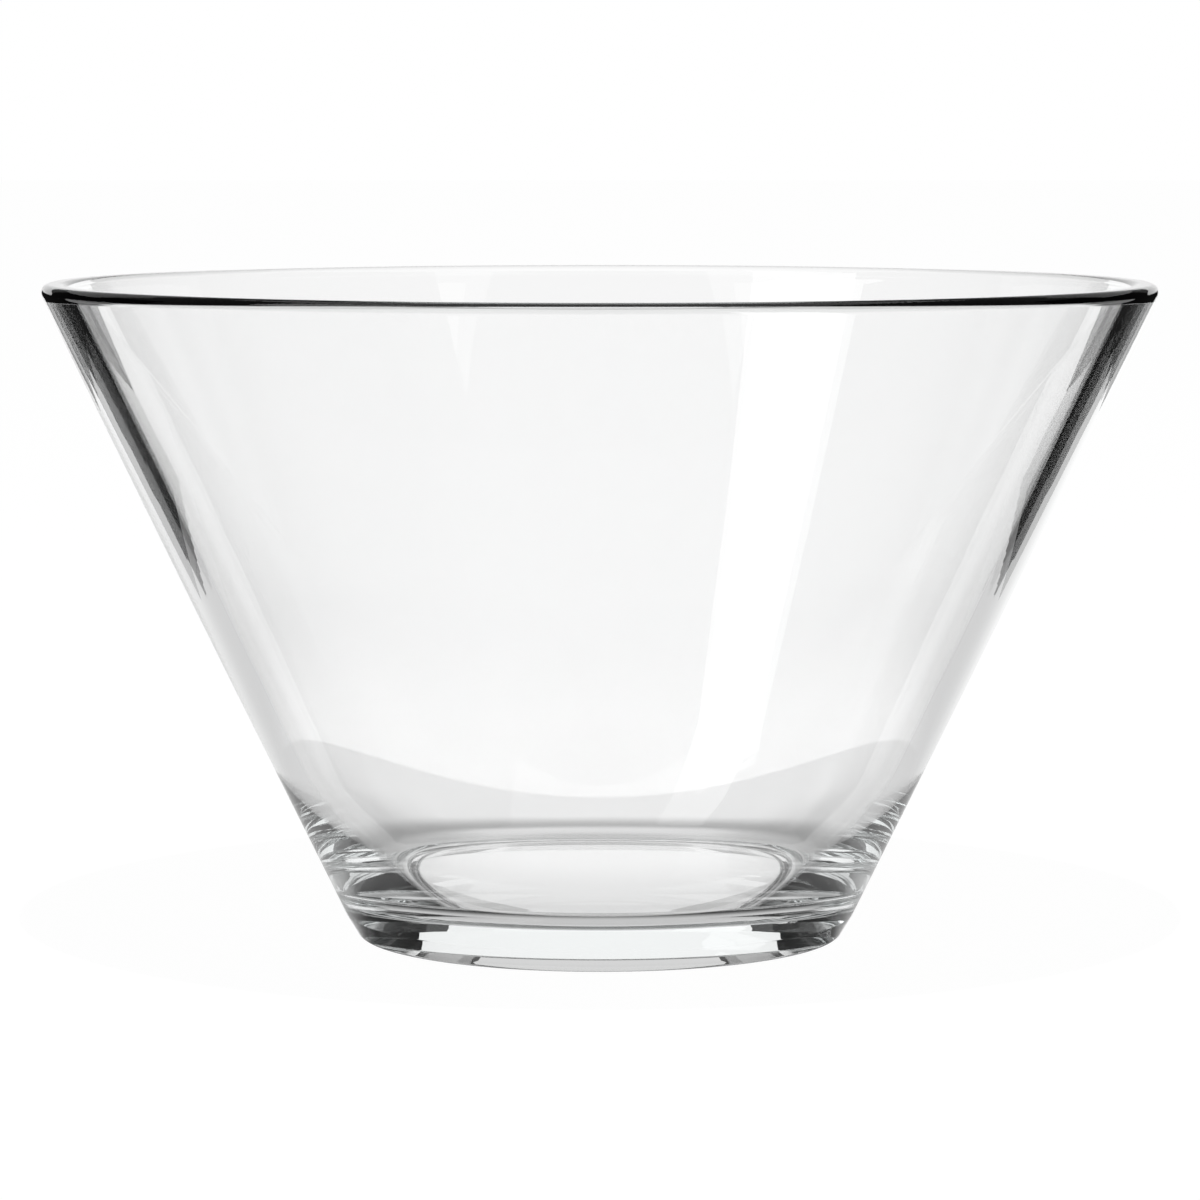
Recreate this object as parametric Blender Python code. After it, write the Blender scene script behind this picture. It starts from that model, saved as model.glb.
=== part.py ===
"""Clear pressed-glass salad bowl: one solid of revolution, in metres, +Z up, standing on z = 0."""

import math

import bpy
from mathutils import Matrix, Vector

MM = 0.001

# Driving sizes of the whole bowl
RIM_DIAMETER = 250.0 * MM
HEIGHT = 147.8 * MM
WALL_LEAN = math.radians(25.65)
WALL_THICKNESS = 5.85 * MM
WALL_BOW = 0.3 * MM

# Rim: a narrow level band between two fire-polished edges
RIM_OUTER_RADIUS = 1.9 * MM
RIM_INNER_RADIUS = 2.5 * MM

# Inside: the wall curves in towards a thick corner, then rounds into a flat floor
FLOOR_HEIGHT = 11.1 * MM
CURVE_HEIGHT = 27.5 * MM
CURVE_TURN = math.radians(12.3)
CURVE_RADIUS = 142.0 * MM
FLOOR_CORNER_RADIUS = 10.0 * MM

# Outside: the heel leans in a little more than the wall, down to the standing ring
HEEL_HEIGHT = 5.0 * MM
HEEL_LEAN = math.radians(31.2)
HEEL_RADIUS = 3.0 * MM
FOOT_EDGE_RADIUS = 1.3 * MM

# Underneath: a flat standing ring round a shallow recess
STANDING_RING_WIDTH = 6.5 * MM
STANDING_RING_EDGE_RADIUS = 0.6 * MM
RECESS_DEPTH = 4.6 * MM
RECESS_LEAN = math.radians(45.0)
RECESS_CORNER_RADIUS = 2.0 * MM

# Facets: steps round the axis, points along the bow, and the largest turn between points of an arc
STEPS_ROUND = 96
BOW_POINTS = 5
ARC_TURN = math.radians(16.0)
ARC_LEAST_STEPS = 3
MERGE_DISTANCE = 0.01 * MM

GLASS_COLOUR = (0.93, 0.97, 0.96, 1.0)
GLASS_ROUGHNESS = 0.02
GLASS_IOR = 1.52


def remove_everything():
    for found in list(bpy.data.objects):
        bpy.data.objects.remove(found)


def along(lean):
    """The direction up a generator that leans outwards by this angle, as (r, z)."""
    return Vector((math.sin(lean), math.cos(lean)))


def inwards(lean):
    """The direction square to such a generator, towards the inside."""
    return Vector((-math.cos(lean), math.sin(lean)))


def at_height(point, lean, height):
    """Where the generator through point reaches this height."""
    return point + along(lean) * ((height - point.y) / math.cos(lean))


def wall_corners():
    """The level rim's two corners before rounding, so that the rounded rim has RIM_DIAMETER."""
    half_corner = (math.radians(90.0) - WALL_LEAN) / 2.0
    cut_off = RIM_OUTER_RADIUS * (1.0 / math.tan(half_corner) - 1.0)
    outer = Vector((RIM_DIAMETER / 2.0 + cut_off, HEIGHT))
    inner = outer - Vector((WALL_THICKNESS / math.cos(WALL_LEAN), 0.0))
    return outer, inner


def bowed(low, high):
    """Points between the ends of the outer wall, which swells by WALL_BOW at the middle."""
    points = []
    for index in range(1, BOW_POINTS + 1):
        share = index / (BOW_POINTS + 1)
        swell = 4.0 * WALL_BOW * share * (1.0 - share)
        points.append(high.lerp(low, share) - inwards(WALL_LEAN) * swell)
    return points


def section_corners():
    """Corners of the half section with their radii, from the middle of the floor to the middle of the recess."""
    rim_outer, rim_inner = wall_corners()
    curve_lean = WALL_LEAN + CURVE_TURN
    curve = at_height(rim_inner, WALL_LEAN, CURVE_HEIGHT)
    floor_corner = at_height(curve, curve_lean, FLOOR_HEIGHT)
    heel = at_height(rim_outer, WALL_LEAN, HEEL_HEIGHT)
    foot = at_height(heel, HEEL_LEAN, 0.0)
    ring_inner = Vector((foot.x - STANDING_RING_WIDTH, 0.0))
    recess_corner = ring_inner + Vector((-math.tan(RECESS_LEAN), 1.0)) * RECESS_DEPTH
    return [
        (Vector((0.0, FLOOR_HEIGHT)), 0.0),
        (floor_corner, FLOOR_CORNER_RADIUS),
        (curve, CURVE_RADIUS),
        (rim_inner, RIM_INNER_RADIUS),
        (rim_outer, RIM_OUTER_RADIUS),
        *[(point, 0.0) for point in bowed(heel, rim_outer)],
        (heel, HEEL_RADIUS),
        (foot, FOOT_EDGE_RADIUS),
        (ring_inner, STANDING_RING_EDGE_RADIUS),
        (recess_corner, RECESS_CORNER_RADIUS),
        (Vector((0.0, RECESS_DEPTH)), 0.0),
    ]


def rounded_corner(before, corner, after, radius):
    """The arc of this radius that rounds off a corner, as points."""
    to_before = (before - corner).normalized()
    to_after = (after - corner).normalized()
    half_angle = to_before.angle(to_after) / 2.0
    tangent = radius / math.tan(half_angle)
    centre = corner + (to_before + to_after).normalized() * (radius / math.sin(half_angle))
    spoke = corner + to_before * tangent - centre
    turn = spoke.angle_signed(corner + to_after * tangent - centre)
    steps = max(ARC_LEAST_STEPS, math.ceil(abs(turn) / ARC_TURN))
    points = []
    for index in range(steps + 1):
        points.append(centre + Matrix.Rotation(-turn * index / steps, 2) @ spoke)
    return points


def half_section():
    corners = section_corners()
    points = []
    for index, (corner, radius) in enumerate(corners):
        if radius == 0.0:
            points.append(corner)
            continue
        before = corners[index - 1][0]
        after = corners[index + 1][0]
        points.extend(rounded_corner(before, corner, after, radius))
    return points


def clear_glass():
    material = bpy.data.materials.new("clear_glass")
    material.use_nodes = True
    shader = material.node_tree.nodes["Principled BSDF"]
    shader.inputs["Base Color"].default_value = GLASS_COLOUR
    shader.inputs["Roughness"].default_value = GLASS_ROUGHNESS
    shader.inputs["Metallic"].default_value = 0.0
    shader.inputs["IOR"].default_value = GLASS_IOR
    shader.inputs["Transmission Weight"].default_value = 1.0
    return material


def glass_bowl():
    """The half section as a line of edges, turned about the Z axis."""
    points = half_section()
    mesh = bpy.data.meshes.new("glass_bowl")
    edges = [(index, index + 1) for index in range(len(points) - 1)]
    mesh.from_pydata([(point.x, 0.0, point.y) for point in points], edges, [])
    mesh.materials.append(clear_glass())
    bowl = bpy.data.objects.new("glass_bowl", mesh)
    bpy.context.collection.objects.link(bowl)
    turn = bowl.modifiers.new("turned_section", "SCREW")
    turn.axis = "Z"
    turn.angle = math.tau
    turn.steps = STEPS_ROUND
    turn.render_steps = STEPS_ROUND
    turn.use_merge_vertices = True
    turn.merge_threshold = MERGE_DISTANCE
    turn.use_smooth_shade = True
    return bowl


remove_everything()
glass_bowl()
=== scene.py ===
"""Looks of the clear glass salad bowl: fine glass, a white stage, soft light and the photograph's camera."""

import math

import bpy
from mathutils import Matrix, Vector


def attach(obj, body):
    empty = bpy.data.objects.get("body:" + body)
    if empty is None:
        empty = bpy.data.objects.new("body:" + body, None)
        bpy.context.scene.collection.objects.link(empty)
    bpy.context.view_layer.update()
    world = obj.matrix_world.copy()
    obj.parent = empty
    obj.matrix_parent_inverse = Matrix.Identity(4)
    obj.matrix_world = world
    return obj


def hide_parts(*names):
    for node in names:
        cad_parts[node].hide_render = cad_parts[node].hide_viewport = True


MM = 0.001
WHITE = (1.0, 1.0, 1.0, 1.0)
RIGHT_ANGLE = math.radians(90.0)
SIDES = (("left", -1.0), ("right", 1.0))

# The bowl's section, as in the part's source
RIM_DIAMETER = 250.0 * MM
HEIGHT = 147.8 * MM
WALL_LEAN = math.radians(25.65)
WALL_THICKNESS = 5.85 * MM
WALL_BOW = 0.3 * MM
RIM_OUTER_RADIUS = 1.9 * MM
RIM_INNER_RADIUS = 2.5 * MM
FLOOR_HEIGHT = 11.1 * MM
CURVE_HEIGHT = 27.5 * MM
CURVE_TURN = math.radians(12.3)
CURVE_RADIUS = 142.0 * MM
FLOOR_CORNER_RADIUS = 10.0 * MM
HEEL_HEIGHT = 5.0 * MM
HEEL_LEAN = math.radians(31.2)
HEEL_RADIUS = 3.0 * MM
FOOT_EDGE_RADIUS = 1.3 * MM
STANDING_RING_WIDTH = 6.5 * MM
STANDING_RING_EDGE_RADIUS = 0.6 * MM
RECESS_DEPTH = 4.6 * MM
RECESS_LEAN = math.radians(45.0)
RECESS_CORNER_RADIUS = 2.0 * MM

# Fineness of the glass surface
STEPS_ROUND = 384
BOW_POINTS = 40
ARC_TURN = math.radians(2.0)
ARC_LEAST_STEPS = 6

# Camera, fitted to the bowl's outline in the photograph: pixels, millimetres of sensor, metres
IMAGE_WIDTH = 1200.0
SENSOR_WIDTH = 36.0
FOCAL_PIXELS = 5007.9
AXIS_COLUMN = 599.8
CAMERA_PLACE = (0.0, -1.1283, 0.18658)
CAMERA_PITCH = math.radians(5.605)
CAMERA_CLIP_END = 100.0

# Glass: the index of soda-lime glass, a faint green, and pressing ripples that are deepest in the thick base
GLASS_IOR = 1.52
GLASS_ROUGHNESS = 0.0
GLASS_TINT = (0.35, 0.72, 0.70, 1.0)
GLASS_TINT_DENSITY = 0.5
RIPPLE_DEPTH = 0.006 * MM
RIPPLES_PER_METRE = (70.0, 70.0, 260.0)
RIPPLE_NOISE_SCALE = 1.0
RIPPLE_NOISE_DETAIL = 1.0
RIPPLE_STRENGTH = 1.0
RIPPLE_FADE = (15.0 * MM, 60.0 * MM)
RIPPLE_ABOVE = 0.05

# Room: white for the camera, dim in the glass, and a plain soft light on the rest
ROOM_GLOW = 0.08
ROOM_LIGHT = 0.3

# Floor: its own grey, and what the camera sees of it, where 1 is white
FLOOR_SIZE = 24.0
FLOOR_DROP = 0.2 * MM
FLOOR_GREY = 0.8
FLOOR_CAMERA_GLOW = 0.98
FLOOR_CAMERA_GREY = 0.03

# Floor in the glass: pale all round, a little brighter far behind, with levels of its own under the recess
FLOOR_BACK_GLOW = 0.89
FAR_RAMP = (0.26, 0.8)
FAR_GLOW = 1.13
FLOOR_UNDER_GLOW = (0.55, 1.0)
FLOOR_UNDER_FADE = (-60.0 * MM, 50.0 * MM)
BASE_EDGE = (48.0 * MM, 55.0 * MM)

# Floor in front, mirrored off the glass: hardly any glow, but lamp light on a grey that is painted brightest
# beside the rim's shadow and fades towards the back, a painted pool of light;
# a grey above 1 is brighter than a white floor would be in that light
MIRRORED_DIMMING = 0.95
SWEEP_EDGE = -62.0 * MM
SWEEP_SLANT = 0.2
SWEEP_SOFTNESS = 15.0 * MM
FLOOR_MIRRORED_GREY = (3.2, 0.8)
PAINTED_POOL_REACH = (140.0 * MM, 190.0 * MM)
PAINTED_POOL_FADE = (-130.0 * MM, 80.0 * MM)
RIM_SHADOW_MIDDLE = 37.0 * MM

# Shade round the bowl: a dark ring, a paler ring inside it, dim sides, and a dark front of the foot
SHADE_GLOW = 0.45
SHADE_RING = (98.0 * MM, 120.0 * MM)
SHADE_SQUEEZE = 1.5
PALE_RING_GLOW = 0.28
PALE_RING_INNER = (54.0 * MM, 72.0 * MM)
PALE_RING_OUTER = (78.0 * MM, 96.0 * MM)
SIDE_SHADE = 0.72
SIDE_SHADE_SINES = (0.37, 0.72)
CONTACT_SHADE = 0.06
CONTACT_EDGE = (60.0 * MM, 85.0 * MM)
CONTACT_FADE = (-25.0 * MM, 5.0 * MM)

# Lamp above the front
LAMP_PLACE = (0.0, -0.42, 1.83)
LAMP_SIZE = 5.0 * MM
LAMP_POWER = 132.0

# Panels that only the glass sees; angles are in degrees, and azimuth 0 is behind the bowl
DARK_GLOW = 0.01
FLAG_REACH = 304.0 * MM
FLAG_HEIGHT = 150.0 * MM
FLAG_STEP = 80.0 * MM
FLAG_FOOT = (43.5, 62.0)
FLAG_TOP = (37.5, 62.0)
BACK_REACH = 1.5
BACK_HALF_WIDTH = 0.96
BACK_MIDDLE = 0.22
BACK_HALF_HEIGHT = 0.3
BACK_POINTS = 64
BACK_GLOW = 1.0
UPPER_HALF_WIDTH = 0.5
UPPER_HEIGHTS = (0.2, 0.64)
UPPER_BEHIND = 0.05
DARK_REACH = 1.8
DARK_AZIMUTHS = (31.0, 80.0)
DARK_HEIGHTS = (0.02, 0.9)
FRONT_REACH = 2.2
FRONT_AZIMUTHS = (100.0, 180.0)
FRONT_HEIGHTS = (0.0, 0.5)
REAR_BOX_REACH = 1.0
REAR_BOX_AZIMUTHS = (18.0, 58.0)
REAR_BOX_ELEVATIONS = (24.0, 42.0)
REAR_BOX_GLOW = 0.35
STRIP_SEEN_FROM = Vector((33.0, 87.0, 91.0)) * MM
STRIP_REACH = 0.9
STRIP_CORNERS = ((-135.0, 58.0), (-135.0, 28.0), (-110.0, 28.0), (-106.0, 52.0))
STRIP_GLOW = 1.8
CEILING_HALF_WIDTH = 0.7
CEILING_HEIGHT = 1.2
CEILING_GLOW = 0.7

# Light paths inside the glass, and bounces between floor and room
GLASS_BOUNCES = 18
ROOM_BOUNCES = 3


def along(lean):
    """The direction up a generator that leans outwards by this angle, as (r, z)."""
    return Vector((math.sin(lean), math.cos(lean)))


def inwards(lean):
    """The direction square to such a generator, towards the inside."""
    return Vector((-math.cos(lean), math.sin(lean)))


def at_height(point, lean, height):
    """Where the generator through point reaches this height."""
    return point + along(lean) * ((height - point.y) / math.cos(lean))


def left_of(way):
    return Vector((-way.y, way.x))


def wall_corners():
    """The level rim's two corners before rounding, so that the rounded rim has RIM_DIAMETER."""
    half_corner = (RIGHT_ANGLE - WALL_LEAN) / 2.0
    cut_off = RIM_OUTER_RADIUS * (1.0 / math.tan(half_corner) - 1.0)
    outer = Vector((RIM_DIAMETER / 2.0 + cut_off, HEIGHT))
    inner = outer - Vector((WALL_THICKNESS / math.cos(WALL_LEAN), 0.0))
    return outer, inner


def bowed(low, high):
    """Points between the ends of the outer wall, which swells by WALL_BOW at the middle."""
    points = []
    for index in range(1, BOW_POINTS + 1):
        share = index / (BOW_POINTS + 1)
        swell = 4.0 * WALL_BOW * share * (1.0 - share)
        points.append(high.lerp(low, share) - inwards(WALL_LEAN) * swell)
    return points


def section_corners():
    """Corners of the half section and their radii, from the middle of the floor to that of the recess."""
    rim_outer, rim_inner = wall_corners()
    curve_lean = WALL_LEAN + CURVE_TURN
    curve = at_height(rim_inner, WALL_LEAN, CURVE_HEIGHT)
    floor_corner = at_height(curve, curve_lean, FLOOR_HEIGHT)
    heel = at_height(rim_outer, WALL_LEAN, HEEL_HEIGHT)
    foot = at_height(heel, HEEL_LEAN, 0.0)
    ring_inner = Vector((foot.x - STANDING_RING_WIDTH, 0.0))
    recess_corner = ring_inner + Vector((-math.tan(RECESS_LEAN), 1.0)) * RECESS_DEPTH
    return [
        (Vector((0.0, FLOOR_HEIGHT)), 0.0),
        (floor_corner, FLOOR_CORNER_RADIUS),
        (curve, CURVE_RADIUS),
        (rim_inner, RIM_INNER_RADIUS),
        (rim_outer, RIM_OUTER_RADIUS),
        *[(point, 0.0) for point in bowed(heel, rim_outer)],
        (heel, HEEL_RADIUS),
        (foot, FOOT_EDGE_RADIUS),
        (ring_inner, STANDING_RING_EDGE_RADIUS),
        (recess_corner, RECESS_CORNER_RADIUS),
        (Vector((0.0, RECESS_DEPTH)), 0.0),
    ]


def rounded_corner(before, corner, after, radius):
    """The arc that rounds off a corner, as points with the normals of the glass there."""
    comes = (corner - before).normalized()
    leaves = (after - corner).normalized()
    turn = math.atan2(comes.x * leaves.y - comes.y * leaves.x, comes.dot(leaves))
    if radius == 0.0:
        return [(corner, left_of((comes + leaves).normalized()))]
    side = math.copysign(radius, turn)
    centre = corner - comes * (radius * math.tan(abs(turn) / 2.0)) + left_of(comes) * side
    steps = max(ARC_LEAST_STEPS, math.ceil(abs(turn) / ARC_TURN))
    rows = []
    for index in range(steps + 1):
        normal = left_of(Matrix.Rotation(turn * index / steps, 2) @ comes)
        rows.append((centre - normal * side, normal))
    return rows


def half_section():
    """Points of the half section with the normals of the glass there."""
    corners = section_corners()
    rows = [(corners[0][0], Vector((0.0, 1.0)))]
    for before, (corner, radius), after in zip(corners, corners[1:], corners[2:]):
        rows.extend(rounded_corner(before[0], corner, after[0], radius))
    rows.append((corners[-1][0], Vector((0.0, -1.0))))
    return rows


def turned_glass(name):
    """The half section turned about the Z axis, with exact normals, so that light bends smoothly."""
    places = []
    normals = []
    rings = []
    for point, normal in half_section():
        steps = STEPS_ROUND if point.x > 0.0 else 1
        rings.append(range(len(places), len(places) + steps))
        for step in range(steps):
            angle = math.tau * step / STEPS_ROUND
            outwards = Vector((math.cos(angle), math.sin(angle), 0.0))
            places.append(outwards * point.x + Vector((0.0, 0.0, point.y)))
            normals.append(outwards * normal.x + Vector((0.0, 0.0, normal.y)))
    faces = []
    for ring, following in zip(rings, rings[1:]):
        for step in range(STEPS_ROUND):
            first = ring[step % len(ring)]
            second = following[step % len(following)]
            third = following[(step + 1) % len(following)]
            fourth = ring[(step + 1) % len(ring)]
            faces.append(list(dict.fromkeys((first, second, third, fourth))))
    mesh = bpy.data.meshes.new(name)
    mesh.from_pydata(places, [], faces)
    mesh.shade_smooth()
    mesh.normals_split_custom_set_from_vertices(normals)
    piece = bpy.data.objects.new(name, mesh)
    bpy.context.collection.objects.link(piece)
    return piece


def link(tree, source, socket, target, name):
    tree.links.new(source.outputs[socket], target.inputs[name])


def math_node(tree, operation, *values):
    """A sum on numbers and sockets, as a socket."""
    node = tree.nodes.new("ShaderNodeMath")
    node.operation = operation
    for socket, value in zip(node.inputs, values):
        if isinstance(value, (int, float)):
            socket.default_value = value
        else:
            tree.links.new(value, socket)
    return node.outputs["Value"]


def map_range(tree, value, low, high, start, end):
    """A smooth step from start, where value is low, to end, where it is high."""
    node = tree.nodes.new("ShaderNodeMapRange")
    node.interpolation_type = "SMOOTHSTEP"
    for socket, number in zip(("From Min", "From Max", "To Min", "To Max"), (low, high, start, end)):
        node.inputs[socket].default_value = number
    tree.links.new(value, node.inputs["Value"])
    return node.outputs["Result"]


def distance(tree, x, y):
    squares = math_node(tree, "ADD", math_node(tree, "POWER", x, 2.0), math_node(tree, "POWER", y, 2.0))
    return math_node(tree, "SQRT", squares)


def pressing_ripples(tree):
    """Flat, shallow ripples left by pressing, which fade out above the base."""
    place = tree.nodes.new("ShaderNodeTexCoord")
    split = tree.nodes.new("ShaderNodeSeparateXYZ")
    link(tree, place, "Object", split, "Vector")
    stretch = tree.nodes.new("ShaderNodeMapping")
    stretch.inputs["Scale"].default_value = RIPPLES_PER_METRE
    link(tree, place, "Object", stretch, "Vector")
    noise = tree.nodes.new("ShaderNodeTexNoise")
    noise.inputs["Scale"].default_value = RIPPLE_NOISE_SCALE
    noise.inputs["Detail"].default_value = RIPPLE_NOISE_DETAIL
    link(tree, stretch, "Vector", noise, "Vector")
    fade = map_range(tree, split.outputs["Z"], *RIPPLE_FADE, 1.0, RIPPLE_ABOVE)
    bump = tree.nodes.new("ShaderNodeBump")
    bump.inputs["Strength"].default_value = RIPPLE_STRENGTH
    bump.inputs["Distance"].default_value = RIPPLE_DEPTH
    tree.links.new(math_node(tree, "MULTIPLY", noise.outputs["Fac"], fade), bump.inputs["Height"])
    return bump.outputs["Normal"]


def clear_glass():
    material = bpy.data.materials.new("clear_glass")
    material.use_nodes = True
    tree = material.node_tree
    shader = tree.nodes["Principled BSDF"]
    shader.inputs["Base Color"].default_value = WHITE
    shader.inputs["Roughness"].default_value = GLASS_ROUGHNESS
    shader.inputs["IOR"].default_value = GLASS_IOR
    shader.inputs["Transmission Weight"].default_value = 1.0
    tint = tree.nodes.new("ShaderNodeVolumeAbsorption")
    tint.inputs["Color"].default_value = GLASS_TINT
    tint.inputs["Density"].default_value = GLASS_TINT_DENSITY
    link(tree, tint, "Volume", tree.nodes["Material Output"], "Volume")
    tree.links.new(pressing_ripples(tree), shader.inputs["Normal"])
    return material


def seen_by(tree):
    """Camera rays, rays mirrored off the glass, and both kinds that the glass sends on, each as 1 or 0."""
    path = tree.nodes.new("ShaderNodeLightPath")
    through = path.outputs["Is Transmission Ray"]
    mirrored = math_node(tree, "GREATER_THAN", path.outputs["Is Glossy Ray"], through)
    return path.outputs["Is Camera Ray"], mirrored, math_node(tree, "MAXIMUM", mirrored, through)


def all_other_rays(tree, camera_ray, glass_ray):
    return math_node(tree, "SUBTRACT", 1.0, math_node(tree, "ADD", camera_ray, glass_ray))


def shade_round_bowl(tree, x, y, radius):
    """Glow of the floor: a dark ring round the bowl, a paler one inside it, dim sides, more far behind."""
    shade_radius = distance(tree, math_node(tree, "MULTIPLY", x, SHADE_SQUEEZE), y)
    ring = map_range(tree, shade_radius, *SHADE_RING, SHADE_GLOW, FLOOR_BACK_GLOW)
    pale = map_range(tree, shade_radius, *PALE_RING_INNER, 0.0, PALE_RING_GLOW)
    pale_share = map_range(tree, shade_radius, *PALE_RING_OUTER, 1.0, 0.0)
    rings = math_node(tree, "MULTIPLY_ADD", pale, pale_share, ring)
    sine = math_node(tree, "DIVIDE", math_node(tree, "ABSOLUTE", x), radius)
    side = map_range(tree, sine, *SIDE_SHADE_SINES, 1.0, SIDE_SHADE)
    far = map_range(tree, y, *FAR_RAMP, 1.0, FAR_GLOW)
    return math_node(tree, "MULTIPLY", rings, math_node(tree, "MULTIPLY", side, far))


def foot_shade(tree, y, radius):
    """1, but dark close to the front of the foot."""
    contact = map_range(tree, radius, *CONTACT_EDGE, CONTACT_SHADE, 1.0)
    return math_node(tree, "MAXIMUM", contact, map_range(tree, y, *CONTACT_FADE, 0.0, 1.0))


def front_dimming(tree, x, y, mirrored_ray):
    """1, but nearly 0 in front for mirrored rays, which see the lamp-lit floor there."""
    edge = math_node(tree, "MULTIPLY_ADD", math_node(tree, "ABSOLUTE", x), SWEEP_SLANT, SWEEP_EDGE)
    beyond = math_node(tree, "SUBTRACT", y, edge)
    front_share = map_range(tree, beyond, -SWEEP_SOFTNESS, SWEEP_SOFTNESS, 1.0, 0.0)
    dimming = math_node(tree, "MULTIPLY", front_share, MIRRORED_DIMMING)
    return math_node(tree, "SUBTRACT", 1.0, math_node(tree, "MULTIPLY", mirrored_ray, dimming))


def glow_under_recess(tree, y, radius):
    """Glow of the floor under the bowl's recess, brighter towards the back."""
    under = map_range(tree, y, *FLOOR_UNDER_FADE, *FLOOR_UNDER_GLOW)
    covered = map_range(tree, radius, *BASE_EDGE, 1.0, 0.0)
    return math_node(tree, "MULTIPLY", covered, under)


def lamp_lit_painted_pool_grey(tree, x, y, foot, mirrored_ray):
    """Grey that the lamp lights for mirrored rays, painted as a pool of light: less towards the back and away
    from the rim's shadow.
    """
    lit = math_node(tree, "MULTIPLY", map_range(tree, y, *PAINTED_POOL_FADE, 1.0, 0.0), foot)
    from_shadow = distance(tree, x, math_node(tree, "SUBTRACT", y, RIM_SHADOW_MIDDLE))
    level = map_range(tree, from_shadow, *PAINTED_POOL_REACH, *FLOOR_MIRRORED_GREY)
    return math_node(tree, "MULTIPLY", lit, math_node(tree, "MULTIPLY", level, mirrored_ray))


def floor_levels(tree, mirrored_ray):
    """Glow of the floor as the glass sees it, and its lamp-lit grey with a painted pool of light, as the glass
    mirrors it.
    """
    place = tree.nodes.new("ShaderNodeTexCoord")
    split = tree.nodes.new("ShaderNodeSeparateXYZ")
    link(tree, place, "Object", split, "Vector")
    x = split.outputs["X"]
    y = split.outputs["Y"]
    radius = distance(tree, x, y)
    foot = foot_shade(tree, y, radius)
    kept = math_node(tree, "MULTIPLY", front_dimming(tree, x, y, mirrored_ray), foot)
    shaded = math_node(tree, "MULTIPLY", shade_round_bowl(tree, x, y, radius), kept)
    glow = math_node(tree, "MAXIMUM", shaded, glow_under_recess(tree, y, radius))
    return glow, lamp_lit_painted_pool_grey(tree, x, y, foot, mirrored_ray)


def empty_material(name):
    material = bpy.data.materials.new(name)
    material.use_nodes = True
    material.node_tree.nodes.clear()
    return material


def floor_material():
    material = empty_material("white_floor")
    tree = material.node_tree
    camera_ray, mirrored_ray, glass_ray = seen_by(tree)
    glow_level, mirrored_grey = floor_levels(tree, mirrored_ray)
    glow = tree.nodes.new("ShaderNodeEmission")
    camera_glow = math_node(tree, "MULTIPLY", camera_ray, FLOOR_CAMERA_GLOW)
    strength = math_node(tree, "MULTIPLY_ADD", glass_ray, glow_level, camera_glow)
    tree.links.new(strength, glow.inputs["Strength"])
    camera_grey = math_node(tree, "MULTIPLY", camera_ray, FLOOR_CAMERA_GREY)
    seen_grey = math_node(tree, "ADD", mirrored_grey, camera_grey)
    grey = math_node(tree, "MULTIPLY_ADD", all_other_rays(tree, camera_ray, glass_ray), FLOOR_GREY, seen_grey)
    diffuse = tree.nodes.new("ShaderNodeBsdfDiffuse")
    tree.links.new(grey, diffuse.inputs["Color"])
    both = tree.nodes.new("ShaderNodeAddShader")
    tree.links.new(diffuse.outputs["BSDF"], both.inputs[0])
    tree.links.new(glow.outputs["Emission"], both.inputs[1])
    out = tree.nodes.new("ShaderNodeOutputMaterial")
    link(tree, both, "Shader", out, "Surface")
    return material


def glow_material(name, level):
    material = empty_material(name)
    tree = material.node_tree
    glow = tree.nodes.new("ShaderNodeEmission")
    glow.inputs["Color"].default_value = WHITE
    glow.inputs["Strength"].default_value = level
    out = tree.nodes.new("ShaderNodeOutputMaterial")
    link(tree, glow, "Emission", out, "Surface")
    return material


def stage_panel(name, corners, material):
    mesh = bpy.data.meshes.new(name)
    mesh.from_pydata([tuple(corner) for corner in corners], [], [tuple(range(len(corners)))])
    mesh.materials.append(material)
    piece = bpy.data.objects.new(name, mesh)
    bpy.context.collection.objects.link(piece)
    return piece


def mirrored_panel(name, corners, level):
    """A panel that only the glass sees."""
    panel = stage_panel(name, corners, glow_material(name, level))
    panel.visible_camera = False
    panel.visible_shadow = False
    panel.visible_diffuse = False


def level_square(half_width, height):
    ends = ((-1.0, -1.0), (1.0, -1.0), (1.0, 1.0), (-1.0, 1.0))
    return [(half_width * x, half_width * y, height) for x, y in ends]


def floor():
    stage_panel("floor", level_square(FLOOR_SIZE / 2.0, -FLOOR_DROP), floor_material())


def towards(azimuth, elevation, reach, start=Vector()):
    """The point at this reach from start; azimuth 0 is behind the bowl, and minus is left."""
    turn = math.radians(azimuth)
    rise = math.radians(elevation)
    way = Vector((math.sin(turn) * math.cos(rise), math.cos(turn) * math.cos(rise), math.sin(rise)))
    return start + way * reach


def upright_panel(name, side, azimuths, reach, heights, level):
    """An upright card between two azimuths, on the left for side -1 and on the right for side 1."""
    near, far = (towards(side * azimuth, 0.0, reach) for azimuth in azimuths)
    low, high = (Vector((0.0, 0.0, height)) for height in heights)
    mirrored_panel(name, [near + low, far + low, far + high, near + high], level)


def flags():
    """Black cards just outside the picture, wider at the top, which draw the dark bands on both walls."""
    for word, side in SIDES:
        upright_panel(f"flag_{word}", side, FLAG_FOOT, FLAG_REACH, (0.0, FLAG_STEP), DARK_GLOW)
        upright_panel(f"flag_{word}_top", side, FLAG_TOP, FLAG_REACH, (FLAG_STEP, FLAG_HEIGHT), DARK_GLOW)


def back_panel():
    """The lit oval on the wall behind, cut off at the floor, which shows in the base."""
    corners = []
    for step in range(BACK_POINTS):
        angle = math.tau * step / BACK_POINTS
        height = BACK_MIDDLE + BACK_HALF_HEIGHT * math.sin(angle)
        corners.append((BACK_HALF_WIDTH * math.cos(angle), BACK_REACH, max(height, 0.0)))
    mirrored_panel("back_panel", corners, BACK_GLOW)


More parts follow.
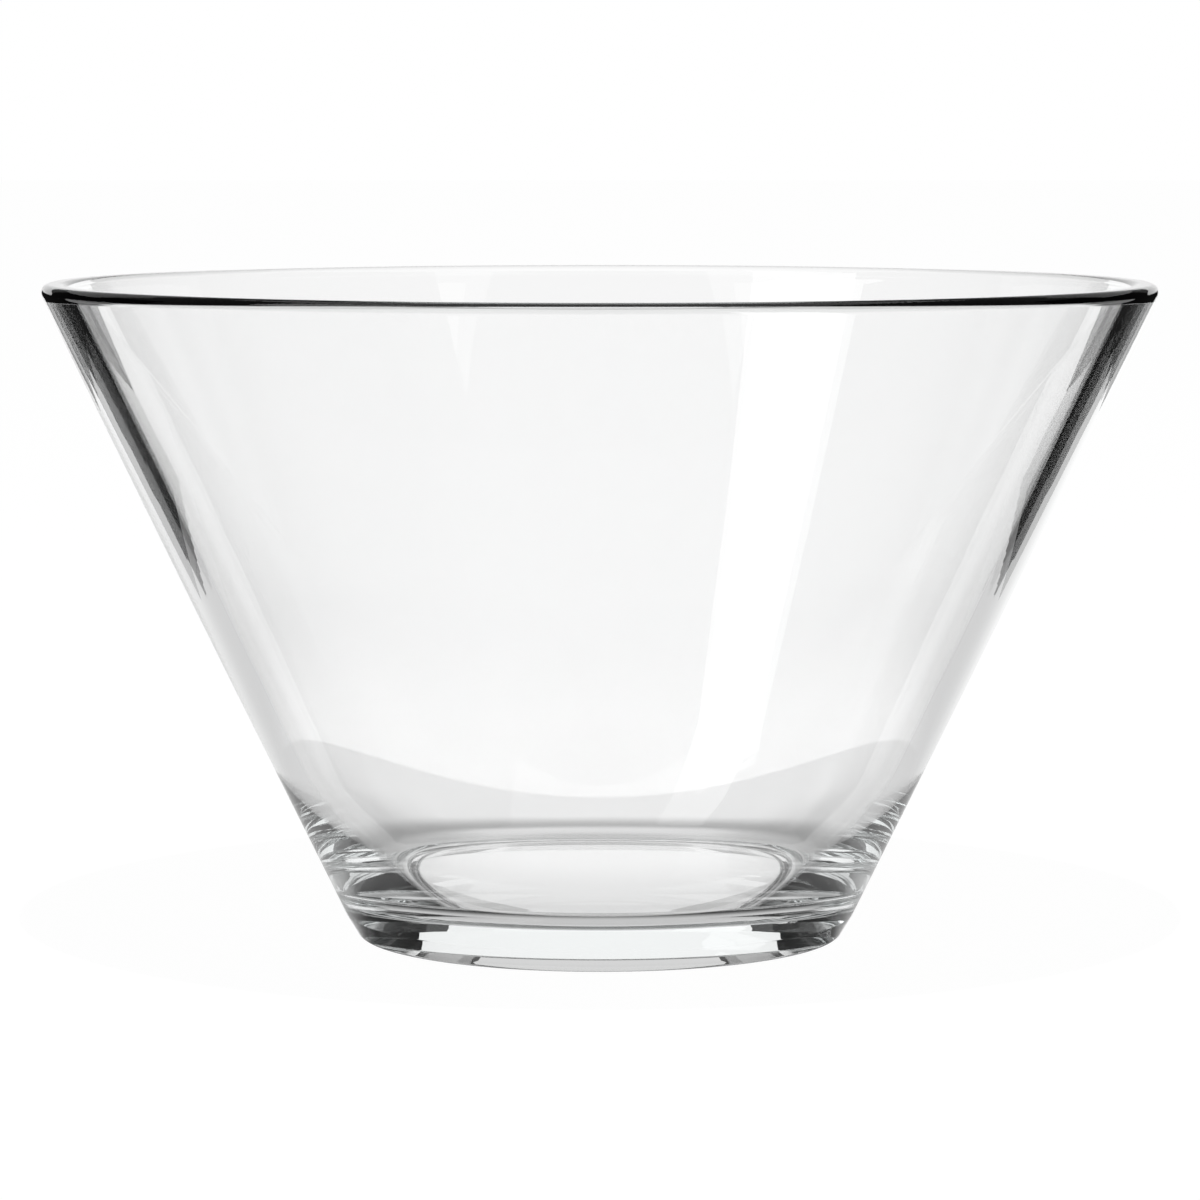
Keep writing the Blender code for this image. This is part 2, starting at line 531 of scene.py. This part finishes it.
def upper_panel():
    """A lit card behind the upper part of that oval, which brightens the floor of the bowl."""
    left, right = -UPPER_HALF_WIDTH, UPPER_HALF_WIDTH
    low, high = UPPER_HEIGHTS
    reach = BACK_REACH + UPPER_BEHIND
    corners = [(left, reach, low), (right, reach, low), (right, reach, high), (left, reach, high)]
    mirrored_panel("upper_panel", corners, BACK_GLOW)


def dark_walls():
    """The unlit walls on both sides of the oval."""
    for word, side in SIDES:
        upright_panel(f"dark_{word}", side, DARK_AZIMUTHS, DARK_REACH, DARK_HEIGHTS, DARK_GLOW)


def front_walls():
    """Pale walls behind the camera, so that the glass is clear from behind too."""
    for word, side in SIDES:
        upright_panel(f"front_{word}", side, FRONT_AZIMUTHS, FRONT_REACH, FRONT_HEIGHTS, FLOOR_BACK_GLOW)


def rear_softboxes():
    """Two dim softboxes above the back, one on each side."""
    near, far = REAR_BOX_AZIMUTHS
    low, high = REAR_BOX_ELEVATIONS
    ways = ((near, low), (far, low), (far, high), (near, high))
    for word, side in SIDES:
        corners = [towards(side * azimuth, elevation, REAR_BOX_REACH) for azimuth, elevation in ways]
        mirrored_panel(f"rear_{word}_softbox", corners, REAR_BOX_GLOW)


def strip_softbox():
    """A softbox in front, to the left and above, mirrored by the inside of the back wall at STRIP_SEEN_FROM."""
    corners = [towards(*way, STRIP_REACH, STRIP_SEEN_FROM) for way in STRIP_CORNERS]
    mirrored_panel("strip_softbox", corners, STRIP_GLOW)


def ceiling():
    """A plain ceiling, which shows in the lowest band of the foot."""
    mirrored_panel("ceiling", level_square(CEILING_HALF_WIDTH, CEILING_HEIGHT), CEILING_GLOW)


def room():
    """White for the camera, dim in the glass, and a plain soft light on everything else."""
    world = bpy.data.worlds.new("studio")
    bpy.context.scene.world = world
    world.use_nodes = True
    tree = world.node_tree
    tree.nodes.clear()
    camera_ray, _, glass_ray = seen_by(tree)
    seen = math_node(tree, "MULTIPLY_ADD", glass_ray, ROOM_GLOW, camera_ray)
    strength = math_node(tree, "MULTIPLY_ADD", all_other_rays(tree, camera_ray, glass_ray), ROOM_LIGHT, seen)
    background = tree.nodes.new("ShaderNodeBackground")
    background.inputs["Color"].default_value = WHITE
    tree.links.new(strength, background.inputs["Strength"])
    out = tree.nodes.new("ShaderNodeOutputWorld")
    link(tree, background, "Background", out, "Surface")


def lamp():
    """A small lamp above the front, whose shadow of the rim is mirrored as an arc in the front wall."""
    light = bpy.data.lights.new("lamp", "POINT")
    light.energy = LAMP_POWER
    light.shadow_soft_size = LAMP_SIZE
    place = bpy.data.objects.new("lamp", light)
    place.location = LAMP_PLACE
    place.visible_glossy = False
    place.visible_transmission = False
    bpy.context.collection.objects.link(place)


def camera():
    view = bpy.data.cameras.new("camera")
    view.sensor_width = SENSOR_WIDTH
    view.lens = FOCAL_PIXELS / IMAGE_WIDTH * SENSOR_WIDTH
    view.shift_x = (IMAGE_WIDTH / 2.0 - AXIS_COLUMN) / IMAGE_WIDTH
    view.clip_end = CAMERA_CLIP_END
    place = bpy.data.objects.new("camera", view)
    place.location = CAMERA_PLACE
    place.rotation_euler = (RIGHT_ANGLE - CAMERA_PITCH, 0.0, 0.0)
    bpy.context.collection.objects.link(place)
    bpy.context.scene.camera = place


def light_bounces():
    cycles = bpy.context.scene.cycles
    cycles.max_bounces = GLASS_BOUNCES
    cycles.transmission_bounces = GLASS_BOUNCES
    cycles.glossy_bounces = GLASS_BOUNCES
    cycles.diffuse_bounces = ROOM_BOUNCES


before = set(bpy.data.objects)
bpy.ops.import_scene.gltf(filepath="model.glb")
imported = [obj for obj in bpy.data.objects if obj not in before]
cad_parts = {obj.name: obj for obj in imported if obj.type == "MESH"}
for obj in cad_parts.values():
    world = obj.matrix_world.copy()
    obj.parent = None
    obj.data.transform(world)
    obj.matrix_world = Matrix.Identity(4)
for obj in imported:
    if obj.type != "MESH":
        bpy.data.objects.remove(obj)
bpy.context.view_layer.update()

bowl = turned_glass("clear_bowl")
bowl.data.materials.append(clear_glass())
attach(bowl, "root")
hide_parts("glass_bowl")

floor()
flags()
back_panel()
upper_panel()
dark_walls()
front_walls()
rear_softboxes()
strip_softbox()
ceiling()
room()
lamp()
camera()
light_bounces()
bpy.context.scene.view_settings.view_transform = "Standard"
